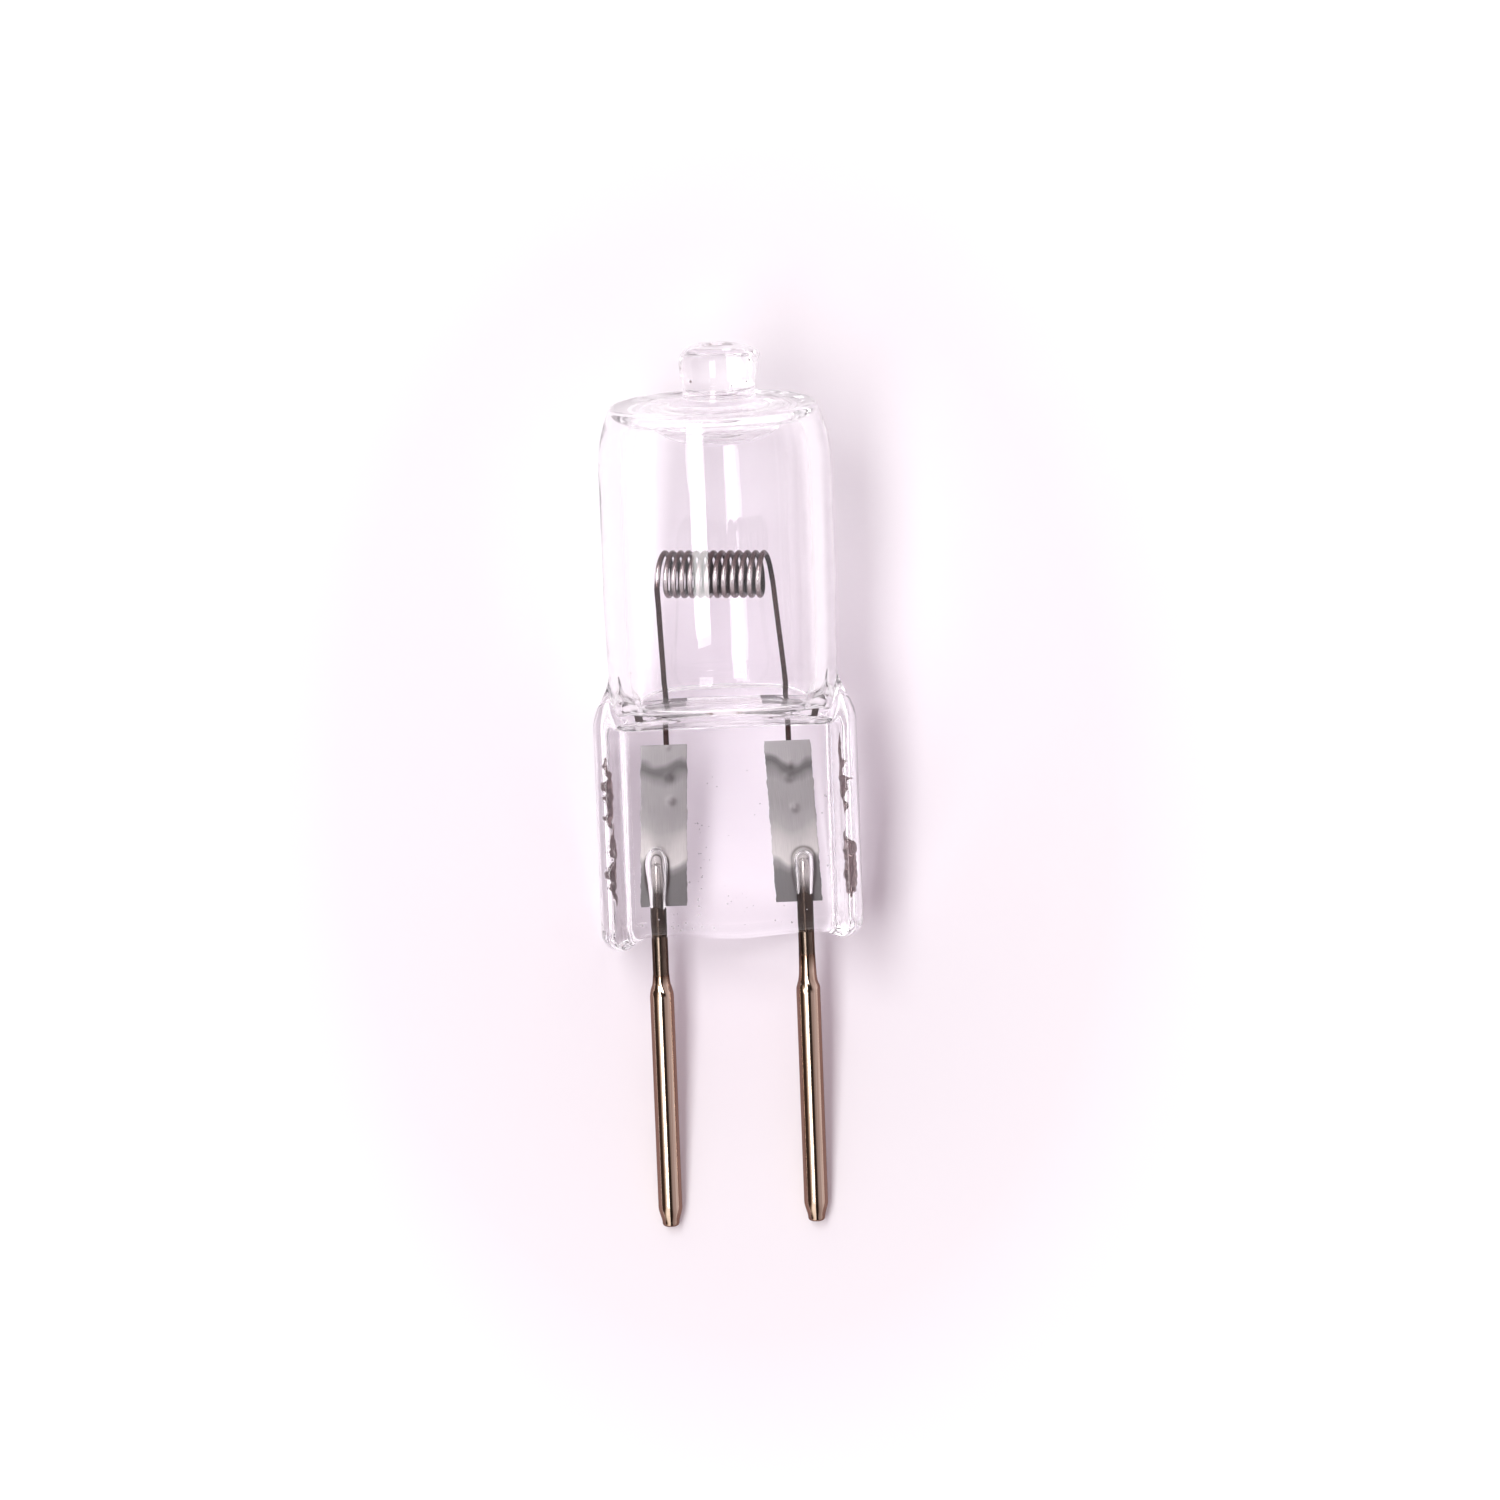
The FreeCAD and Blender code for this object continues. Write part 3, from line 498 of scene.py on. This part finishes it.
# Chamber: radius of its wall, half width and half depth of its floor and of the wall's foot, and the roof's
# profile as (height, radius) knots and then as (radius, height).
INNER = 4.05
FLOOR, RISE = 22.8, 0.45
FLOOR_X, FLOOR_Y = 3.75, 2.9
FOOT, FOOT_X, FOOT_Y = 24.75, 4.0, 3.875
ROOF_ASIDE, ROOF_LOW = 0.2, 34.21
ARCH = [(33.1, 4.05), (33.8, 4.03), (34.4, 3.97), (34.9, 3.88), (35.25, 3.76), (35.45, 3.63), (35.58, 3.48),
        (35.63, 3.36)]
ROOF = [(3.3, 35.65), (3.1, 35.65), (2.95, 35.62), (2.8, 35.5), (2.66, 35.3), (2.5, 35.05), (2.3, 34.8), (2.0, 34.58),
        (1.7, 34.43), (1.3, 34.31), (0.9, 34.25), (0.5, 34.22), (0.2, 34.21)]


def floor_at(x, y):
    """Height of the chamber's floor: creased along y = 0 by the press, and a little deeper at both ends."""
    deep = 0.2 * smooth(2.0, 3.3, np.abs(x))
    return FLOOR - deep + RISE * (np.sqrt((y / 3.5) ** 2 + 0.0012) - 0.035) + deep * np.minimum(np.abs(y), 1)


def chamber(shape):
    """Sealed space inside the tube, with its faces turned inwards."""
    cos, sin = np.cos(ANGLE), np.sin(ANGLE)
    rings = []
    for share in np.linspace(0.02, 1.0, 44):
        x, y = FLOOR_X * share * cos, FLOOR_Y * share * sin
        rings.append(ring_at(x, y, floor_at(x, y)))
    base = floor_at(FLOOR_X * cos, FLOOR_Y * sin)
    for a in np.linspace(0.1, math.pi / 2, 20):
        grow, climb = math.sin(a), 1 - math.cos(a)
        wide, deep = FLOOR_X + (FOOT_X - FLOOR_X) * grow, FLOOR_Y + (FOOT_Y - FLOOR_Y) * grow
        rings.append(ring_at(wide * cos, deep * sin, base + (FOOT - base) * climb))
    for z in np.linspace(24.9, 33.0, 32):
        drawn = TUBE - float(curve(TUBE_REACH, z))
        rings.append(ring_at((INNER - 0.2 * drawn) * cos, (INNER - 0.9 * drawn) * sin, z))
    for r, z in [(float(curve(ARCH, z)), z) for z in np.linspace(33.15, 35.63, 30)] + ROOF:
        aside = ROOF_ASIDE * float(smooth(3.6, 2.8, r))
        rings.append(ring_at(aside + r * cos, r * sin, z))
    shape.rings(rings, first_pole=(0, 0, FLOOR), last_pole=(ROOF_ASIDE, 0, ROOF_LOW), inward=True)


# Gap round each lead wire's end, as (height, radius) knots, and the height at which it closes.
POCKETS = {
    -1: ([(13.8, 0.31), (14.2, 0.345), (14.5, 0.368), (14.9, 0.395), (15.3, 0.43), (15.7, 0.47), (16.1, 0.49),
          (16.5, 0.44), (16.8, 0.28), (16.9, 0.1)], 16.92),
    1: ([(14.2, 0.31), (14.6, 0.345), (14.9, 0.366), (15.25, 0.39), (15.6, 0.42), (15.9, 0.43), (16.25, 0.42),
         (16.5, 0.26), (16.58, 0.1)], 16.6)}


def lead_pocket(shape, side):
    """Gap that the quartz leaves round a lead wire, wider round the wire's end."""
    knots, end = POCKETS[side]
    angle, x0 = turn_of(48), side * PIN_X
    low, bend, high = knots[0][0], knots[-2][0], knots[-1][0]
    rings = []
    for z in np.concatenate([np.linspace(low, bend, 40), np.linspace(bend + 0.02, high, 5)]):
        r = float(curve(knots, z)) * (1 + 0.02 * noise1(angle + z, 11 + side, 1.5))
        rings.append(ring_at(x0 + r * np.cos(angle), r * np.sin(angle), z))
    shape.rings(rings, first_pole=(x0, 0, low - 0.005), last_pole=(x0, 0, end), inward=True)


# Folds as (x, lower end, upper end, seed, half width), and specks as (x, y, z, radius).
FOLDS = [(-5.1, 14.6, 18.3, 31, 0.095), (-5.14, 18.0, 21.2, 33, 0.085), (5.08, 18.3, 21.9, 35, 0.10),
         (5.14, 14.6, 17.6, 37, 0.115)]
FOLD_Y, FOLD_DEPTH = -1.5, 0.05
SPECKS = [(-0.8, -0.8, 37.2, 0.075), (1.35, -0.6, 37.1, 0.045), (0.8, -1.0, 37.0, 0.03), (1.5, -0.5, 37.95, 0.05)]


def ball(shape, x, y, z, r):
    angle = turn_of(10)
    rings = [ring_at(x + r * math.sin(a) * np.cos(angle), y + r * math.sin(a) * np.sin(angle), z - r * math.cos(a))
             for a in np.linspace(0, math.pi, 8)[1:-1]]
    return shape.rings(rings, first_pole=(x, y, z - r), last_pole=(x, y, z + r), inward=True)


def folds_and_bubbles(shape):
    """Thin folds shut inside the side beads, small bubbles of the pinch and dark specks of the stub, all with
    faces turned inwards. Gives the points of the folds and the specks, whose glass is tinted dark: painted shade in
    the folds."""
    angle = turn_of(16)
    dark = []
    for x0, low, high, seed, wide in FOLDS:
        rings = []
        for t in np.linspace(0.02, 0.98, 60):
            z = low + (high - low) * t
            fat = math.sin(math.pi * t) ** 0.6 * (0.75 + 0.4 * float(noise1(z * 2.2, seed, 1.9)))
            fat = max(fat, 0.12)
            x = x0 + 0.035 * float(noise1(z, seed + 1, 1.6))
            y = FOLD_Y + 0.08 * float(noise1(z, seed + 2, 0.7))
            rings.append(ring_at(x + wide * fat * np.cos(angle), y + FOLD_DEPTH * fat * np.sin(angle), z))
        start = shape.rings(rings, first_pole=(x0, FOLD_Y, low), last_pole=(x0, FOLD_Y, high), inward=True)
        dark += range(start, len(shape.points))
    rng = np.random.default_rng(12)
    spots = []
    for z in rng.uniform(13.5, 18.3, 22):
        spots.append((-1.42 + 0.11 * rng.normal() + 0.035 * (z - 13.5), z, rng.uniform(0.01, 0.036)))
    for z in rng.uniform(15.6, 19.5, 14):
        spots.append((4.28 + 0.11 * rng.normal(), z, rng.uniform(0.012, 0.045)))
    for _ in range(34):
        spots.append((rng.uniform(-4.2, 4.2), 13.35 + abs(rng.normal()) * 0.9, rng.uniform(0.012, 0.04)))
    for _ in range(14):
        spots.append((rng.uniform(-1.2, 1.4), rng.uniform(14, 21), rng.uniform(0.012, 0.026)))
    for x, z, r in spots:
        ball(shape, x, -1.28 + 0.2 * rng.random(), z, r)
    for speck in SPECKS:
        dark += range(ball(shape, *speck), len(shape.points))
    return dark


# Filament: a round wire, wound like the CAD coil, with the coil turned a little about the upright.
COIL_RADIUS, PITCH, TURNS, COIL_HEIGHT, COIL_START = 0.925, 0.36, 12, 28.74, -2.47
COIL_MIDDLE = np.array([COIL_START + TURNS * PITCH / 2, 0, 0])
COIL_TURN = math.radians(12)
SPIN = np.array([[math.cos(COIL_TURN), math.sin(COIL_TURN), 0], [-math.sin(COIL_TURN), math.cos(COIL_TURN), 0],
                 [0, 0, 1]])
WIRE, WIRE_SIDES = 0.12, 14
LEG_LEFT, LEG_RIGHT, LEG_DEPTH = -2.55, 2.72, 0.498
LEG_END, LEG_FOOT, LEG_CORNER = 18.5, 23.2, 23.8
LEG_TONE = 0.2


def spun(point):
    return SPIN @ (np.asarray(point) - COIL_MIDDLE) + COIL_MIDDLE


def arc(centre, r, down, first, last, steps):
    """Points of an arc in the plane of a direction and of y, by angle in degrees."""
    return [np.array(centre) - down * r * math.cos(a) + np.array([0, 1, 0]) * r * math.sin(a)
            for a in np.radians(np.linspace(first, last, steps, endpoint=False))]


def leg(x, end, heading):
    """Wire from a foil up to one end of the coil, with a bend above the floor and one below the coil."""
    foot, corner = np.array([x, LEG_DEPTH, LEG_FOOT]), np.array([x, LEG_DEPTH, LEG_CORNER])
    upper = end + heading * 0.5
    points = [np.array([x, LEG_DEPTH, z]) for z in np.linspace(LEG_END, LEG_FOOT, 12)]
    for before, at, after, r in ((foot, corner, upper, 1.5), (corner, upper, end, 0.8)):
        back, ahead = (before - at) / np.linalg.norm(before - at), (after - at) / np.linalg.norm(after - at)
        half = math.acos(np.clip(back @ ahead, -1, 1)) / 2
        reach = r / math.tan(half)
        inward = (back + ahead) / np.linalg.norm(back + ahead)
        centre = at + inward * r / math.sin(half)
        p, q = at + back * reach - centre, at + ahead * reach - centre
        spread = math.acos(np.clip(p @ q / r**2, -1, 1))
        for t in np.linspace(0, 1, 10):
            points.append(centre + (p * math.sin((1 - t) * spread) + q * math.sin(t * spread)) / math.sin(spread))
    return points


def filament_path():
    leaning = math.hypot(COIL_RADIUS, PITCH / 4)
    rising = np.array([PITCH / 4, 0, COIL_RADIUS]) / leaning
    falling = np.array([PITCH / 4, 0, -COIL_RADIUS]) / leaning
    coil = []
    for number in range(TURNS):
        front = np.array([COIL_START + number * PITCH, 0, COIL_HEIGHT])
        first, steps = (-90, 12) if number == 0 else (-180, 24)
        coil += arc(front, leaning, -rising, first, 0, steps)
        coil += arc(front + [PITCH / 2, 0, 0], leaning, falling, 0, 180, 24)
    last = np.array([COIL_START + TURNS * PITCH, 0, COIL_HEIGHT])
    coil += arc(last, leaning, -rising, -180, 0, 24)
    out = math.radians(9)
    leaving = np.array([math.sin(out), 0, -math.cos(out)])
    middle = last + rising * leaning + leaving * COIL_RADIUS
    coil += arc(middle, COIL_RADIUS, leaving, 0, 90, 14)
    coil.append(middle + np.array([0, COIL_RADIUS, 0]))
    left = leg(LEG_LEFT, spun([COIL_START, -leaning, COIL_HEIGHT]), SPIN @ -rising)
    right = leg(LEG_RIGHT, spun(coil[-1]), SPIN @ leaving)
    return np.array(left + [spun(point) for point in coil] + right[::-1])


def tube_along(shape, line, radius, sides):
    """Round wire along a line of points. Gives the centres of its rings."""
    keep = [0]
    for i in range(1, len(line)):
        if np.linalg.norm(line[i] - line[keep[-1]]) > 1e-3:
            keep.append(i)
    line = line[keep]
    heading = np.gradient(line, axis=0)
    heading /= np.linalg.norm(heading, axis=1)[:, None]
    across = np.cross(heading[0], [0, 1, 0])
    a = turn_of(sides)[:, None]
    rings = []
    for point, along in zip(line, heading):
        across = across - along * (across @ along)
        across /= np.linalg.norm(across)
        other = np.cross(along, across)
        rings.append(point + radius * (np.cos(a) * across + np.sin(a) * other))
    shape.rings(rings, first_pole=line[0], last_pole=line[-1])
    return line


def filament():
    """The wire, with its outward faces painted bright and the faces inside the coil painted dark as shade."""
    shape = Shape()
    centres = tube_along(shape, filament_path(), WIRE, WIRE_SIDES)
    # Painted light and shade of the wire: the legs keep one even tone. On the coil, the faces turned away from its
    # axis are painted bright, brightest in a band of painted highlight level with the axis and dimmer on the upper
    # half. The faces turned into the coil are painted dark as shade.
    points, outside = np.array(shape.points), np.full(len(shape.points), LEG_TONE)
    for k, centre in enumerate(centres):
        away = SPIN.T @ (centre - COIL_MIDDLE - [0, 0, COIL_HEIGHT])
        reach = math.hypot(away[1], away[2])
        if abs(reach - COIL_RADIUS) < 0.06 and centre[2] > COIL_HEIGHT - 1.1:
            up = away[2] / reach
            low, width = (0.34, 0.42) if up > 0 else (0.55, 0.45)
            tone = low + (1 - low) * float(bump(up, 0.02, width))
            ring = slice(k * WIRE_SIDES, (k + 1) * WIRE_SIDES)
            outward = SPIN @ [0, away[1], away[2]]
            facing = 0.5 + 0.5 * (points[ring] - centre) @ outward / (reach * WIRE)
            outside[ring] = tone * smooth(0.22, 0.9, facing)
    shape.build("filament_wire", TUNGSTEN, "filament", "tungsten", outside=outside)


# Foils: thin ribbons with the dents and wrinkles of the pressed seal. Welds are dents, as (across, along, strength),
# and a ring of painted shade runs round the end of the lead, where the rim of its pocket lies in front of the foil.
FOIL_ROWS, FOIL_COLUMNS = 190, 56
FOIL_LENGTH, FOIL_WIDTH, FOIL_LEAN = 7.1, 2.0, math.radians(2.2)
FOIL_LOW, FOIL_X, FOIL_Y = 14.25, 2.93, 0.365
DENT, DENT_SIZE = 0.13, 0.15
WELDS = {-1: [(0.12, 0.985, 0.5), (0.24, 0.795, 1.0), (0.32, 0.65, 0.8)],
         1: [(0.0, 0.85, 0.8), (-0.05, 0.767, 1.0), (0.14, 0.58, 0.7)]}
RIM_PAINTED_SHADE = {-1: 1.0, 1: 0.7}
RIM_SHADE_HEIGHT, RIM_SHADE_REACH, RIM_SHADE_WIDTH = 16.15, 0.5, 0.065


def foil_face(side, face):
    """Points, UV and the painted shade round the lead's pocket, for one face of a foil."""
    seed = 20 + side
    points, uv, stains = [], [], []
    for v in np.linspace(0, 1, FOIL_ROWS):
        edge_wave = 0.025 * float(noise1(v * 9, seed, 3.0))
        roll = 0.04 * math.sin(v * 9 + seed) + 0.02 * float(noise1(v * 6, seed + 4, 2.0))
        z = v * FOIL_LENGTH
        height = FOIL_LOW + z * math.cos(FOIL_LEAN)
        rim = RIM_SHADE_REACH - 0.2 * float(smooth(15.6, 14.3, height))
        for u in np.linspace(-1, 1, FOIL_COLUMNS):
            x = u * FOIL_WIDTH / 2 + edge_wave * (1 if u > 0 else -1) * abs(u) ** 4
            thick = 0.005 + 0.01 * (1 - abs(u) ** 3)
            wave = roll * (1 - abs(u) * 0.4) * float(smooth(0.30, 0.5, v)) * 0.5
            for wu, wv, strong in WELDS[side]:
                du, dv = (u - wu) * FOIL_WIDTH / 2 / DENT_SIZE, (v - wv) * FOIL_LENGTH / DENT_SIZE
                wave -= DENT * strong * math.exp(-(du ** 2 + dv ** 2))
            across = side * (FOIL_X - z * math.sin(FOIL_LEAN)) + x
            points.append((across, FOIL_Y + wave + face * thick, height))
            uv.append((u * 0.5 + 0.5, v))
            reach = math.hypot(across - side * PIN_X, max(0.0, height - RIM_SHADE_HEIGHT))
            stains.append(float(bump(reach, rim, RIM_SHADE_WIDTH)) * RIM_PAINTED_SHADE[side])
    return points, uv, stains


def foil(side):
    shape = Shape()
    starts, stains = [], []
    for face in (-1, 1):
        points, uv, stain = foil_face(side, face)
        starts.append(shape.add(points, uv))
        stains += stain
    for face, start in zip((-1, 1), starts):
        for r in range(FOIL_ROWS - 1):
            for c in range(FOIL_COLUMNS - 1):
                a = start + r * FOIL_COLUMNS + c
                quad = (a, a + 1, a + 1 + FOIL_COLUMNS, a + FOIL_COLUMNS)
                shape.faces.append(quad if face < 0 else quad[::-1])
    grid = np.arange(FOIL_ROWS * FOIL_COLUMNS).reshape(FOIL_ROWS, FOIL_COLUMNS)
    rim = [*grid[0], *grid[1:, -1], *grid[-1, -2::-1], *grid[-2:0:-1, 0]]
    for first, second in zip(rim, rim[1:] + rim[:1]):
        shape.faces.append(tuple(int(i) for i in (starts[0] + second, starts[0] + first,
                                                  starts[1] + first, starts[1] + second)))
    word = WORDS[side]
    shape.build("foil_sheet_" + word, FOIL, "foil_" + word, "foil", stain=np.clip(stains, 0, 1))


# Pins and leads: heights of the swaging tool's marks and of a nick, the sleeves' necks as (height, radius) knots,
# and the ends and the radius of the leads.
SWAGE, NICK = 10.55, 10.33
NECKS = {-1: [(10.2, 0.52), (10.36, 0.515), (10.5, 0.485), (10.66, 0.435), (10.82, 0.395), (11.0, 0.372),
              (11.2, 0.356)],
         1: [(10.2, 0.52), (10.36, 0.512), (10.52, 0.475), (10.72, 0.42), (11.0, 0.385), (11.4, 0.368),
             (11.9, 0.354)]}
LEAD_LOW, LEAD_HIGH, LEAD_RADIUS = 9.0, 16.2, 0.35


def turned(name, side, profile, look, replaced, slot):
    """Round piece on a pin's axis, from a profile of (radius, height)."""
    shape = Shape()
    angle, x0 = turn_of(64), side * PIN_X
    rings = []
    for r, z in profile:
        radius = np.full_like(angle, r)
        if slot == "pin":
            # marks of the swaging tool at the shoulder
            mark = float(bump(z, SWAGE, 0.28)) * min(1.0, max(0.0, 11.0 - z) * 6)
            radius = radius + 0.02 * mark * noise1(np.cos(angle) * 2 + z * 2, 41 + side, 1.4)
            if side > 0:
                from_front = np.angle(np.exp(1j * (angle + 1.5)))
                radius = radius - 0.05 * float(bump(z, NICK, 0.05)) * bump(from_front, 0, 0.5)
        rings.append(ring_at(x0 + radius * np.cos(angle), radius * np.sin(angle), z))
    shape.rings(rings, first_pole=(x0, 0, profile[0][1]), last_pole=(x0, 0, profile[-1][1]))
    shape.build(name, look, replaced, slot)


def pin_and_lead(side):
    word, neck = WORDS[side], NECKS[side]
    profile = [(0.16, 0.0), (0.27, 0.012), (0.33, 0.05), (0.365, 0.12)]
    profile += [(0.365 + 0.155 * float(smooth(0, 1, t)), 0.12 + 0.76 * t) for t in np.linspace(0.08, 1, 12)]
    profile += [(PIN_RADIUS, z) for z in np.linspace(1.0, 10.2, 30)]
    profile += [(float(curve(neck, z)), z) for z in np.linspace(10.24, neck[-1][0], 28)]
    turned("pin_sleeve_" + word, side, profile, PIN, "contact_pin_" + word, "pin")
    profile = [(LEAD_RADIUS, z) for z in np.linspace(LEAD_LOW, LEAD_HIGH - 0.35, 40)]
    profile += [(r, LEAD_HIGH - below) for r, below in ((0.345, 0.28), (0.325, 0.18), (0.285, 0.08), (0.22, 0.02),
                                                        (0.12, 0))]
    turned("lead_rod_" + word, side, profile, LEAD, "lead_wire_" + word, "lead")


envelope()
filament()
for side in (-1, 1):
    foil(side)
    pin_and_lead(side)


# Floor: white paper, painted darker and pinker near the lamp as tinted shade, and glowing brighter far away. It is
# dimmer in the pins' reflections, a painted dark reflection.
def paper_material():
    g = new_material("paper")
    spread = g.scaled("Object", (1 / 0.021, 1 / 0.030, 0))
    reach = g.node("VectorMath", {0: spread}, operation="LENGTH").outputs["Value"]
    # Painted shade: the paper's tone is darker and pinker near the lamp and lighter far away.
    tone = g.ramp(reach, [(0.0, (0.83, 0.785, 0.835)), (0.22, (0.845, 0.805, 0.85)), (0.5, (0.875, 0.862, 0.885)),
                          (0.8, (0.905, 0.903, 0.915)), (1.0, (0.93, 0.93, 0.94))])
    path, clear = g.rays()
    mirrored = g.math("SUBTRACT", path["Is Glossy Ray"], clear, use_clamp=True)
    return g.finish("Principled BSDF", {
        "Roughness": 0.9,
        "Specular IOR Level": 0.1,
        "Base Color": g.mix(mirrored, tone, (0.32, 0.235, 0.215), "MULTIPLY"),
        "Emission Color": (1, 1, 1),
        "Emission Strength": g.remap(reach, (0.8, 4.0), (0.0, 0.9))})


FLOOR_HALF = 1.6
floor_mesh = bpy.data.meshes.new("floor")
floor_mesh.from_pydata([(FLOOR_HALF * x, FLOOR_HALF * y, 0) for x, y in ((-1, -1), (1, -1), (1, 1), (-1, 1))], [],
                       [(0, 1, 2, 3)])
floor_mesh.materials.append(paper_material())
floor = bpy.data.objects.new("floor", floor_mesh)
scene.collection.objects.link(floor)


# Room: what shows through the glass is pale and dark only straight above, the metal mirrors strips of light and
# dark from left to right, and the floor gets an even fill.
def room():
    world = bpy.data.worlds.new("room")
    scene.world = world
    g = Graph(world)
    direction = g.axes("Generated")
    sideways = g.ramp(g.remap(direction["X"], (-1, 1), (0, 1)), [
        (0.0, (0.045, 0.027, 0.022)), (0.11, (0.045, 0.027, 0.022)), (0.16, (0.42, 0.33, 0.25)),
        (0.22, (1.2, 1.16, 1.08)), (0.43, (1.4, 1.35, 1.25)), (0.46, (0.02, 0.01, 0.006)),
        (0.64, (0.015, 0.008, 0.006)), (0.71, (0.34, 0.28, 0.275)), (0.9, (0.52, 0.45, 0.455)),
        (1.0, (0.72, 0.63, 0.64))])
    through = g.ramp(direction["Z"], [
        (0.0, (0.95, 0.90, 0.94)), (0.80, (0.93, 0.87, 0.92)), (0.91, (0.66, 0.57, 0.62)),
        (0.97, (0.27, 0.21, 0.23)), (1.0, (0.12, 0.09, 0.10))])
    path, clear = g.rays()
    seen = g.mix(clear, sideways, through)
    g.finish("Background", {"Color": g.mix(path["Is Diffuse Ray"], seen, (0.53, 0.43, 0.485)), "Strength": 1.0})


def softbox(name, centre, target, width, height, radiance):
    data = bpy.data.lights.new(name, "AREA")
    data.shape = "RECTANGLE"
    data.size, data.size_y = width, height
    data.energy = radiance * math.pi * width * height
    lamp = bpy.data.objects.new(name, data)
    scene.collection.objects.link(lamp)
    lamp.location = centre
    lamp.rotation_euler = (Vector(target) - Vector(centre)).to_track_quat("-Z", "Y").to_euler()


room()
softbox("key", centre=(-0.17, 0.0645, 0.475), target=(0, 0.0645, 0), width=0.611, height=0.145, radiance=6.9)

camera_data = bpy.data.cameras.new("camera")
camera_data.sensor_width = 36
camera_data.lens = 203.6
camera_data.clip_start = 0.01
camera = bpy.data.objects.new("camera", camera_data)
scene.collection.objects.link(camera)
camera.location = (1.046 * MM, 1.55 * MM, 0.370)
camera.rotation_euler = (0, 0, math.radians(-2.19))
scene.camera = camera

# Light crosses the thick glass many times before it comes out.
scene.cycles.blur_glossy = 0.0
scene.cycles.max_bounces, scene.cycles.glossy_bounces, scene.cycles.transmission_bounces = 32, 24, 24
scene.view_settings.view_transform = "Standard"
